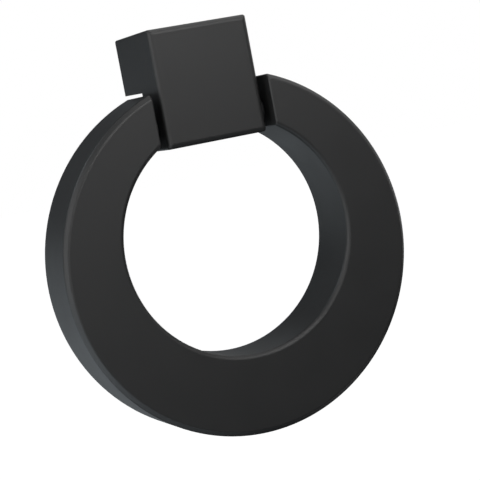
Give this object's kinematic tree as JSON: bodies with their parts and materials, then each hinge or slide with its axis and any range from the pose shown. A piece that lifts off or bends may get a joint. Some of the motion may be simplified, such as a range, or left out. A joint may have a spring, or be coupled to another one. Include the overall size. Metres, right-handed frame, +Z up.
{
  "type": "ring pull",
  "caption": "Cabinet ring pull: a round ring, open at its top, swings on a hidden pin through the nose of a square block that is screwed to the door from behind.",
  "frame": {"origin": "centre of the mounting block's door face, at the mouth of the screw hole", "axes": "+Y out of the door face, into the door; +Z up as mounted on an upright door; the front of the pull faces -Y; +X to the right seen from the front"},
  "size_m": [0.06, 0.018, 0.0684],
  "materials": {
    "satin_black": "satin black paint on cast metal",
    "pin_steel": "ground steel pin",
    "black_nylon": "moulded nylon washer"
  },
  "bodies": {
    "block": {"mounting_block": "satin_black"},
    "ring": {"ring": "satin_black", "hinge_pin": "pin_steel", "left_spacer": "black_nylon", "right_spacer": "black_nylon"}
  },
  "joints": [
    {"name": "ring_swing", "type": "hinge", "parent": "block", "child": "ring", "pos_m": [0, -0.012, -0.0111], "axis": [-1, 0, 0], "range_deg": [-6, 186]}
  ]
}
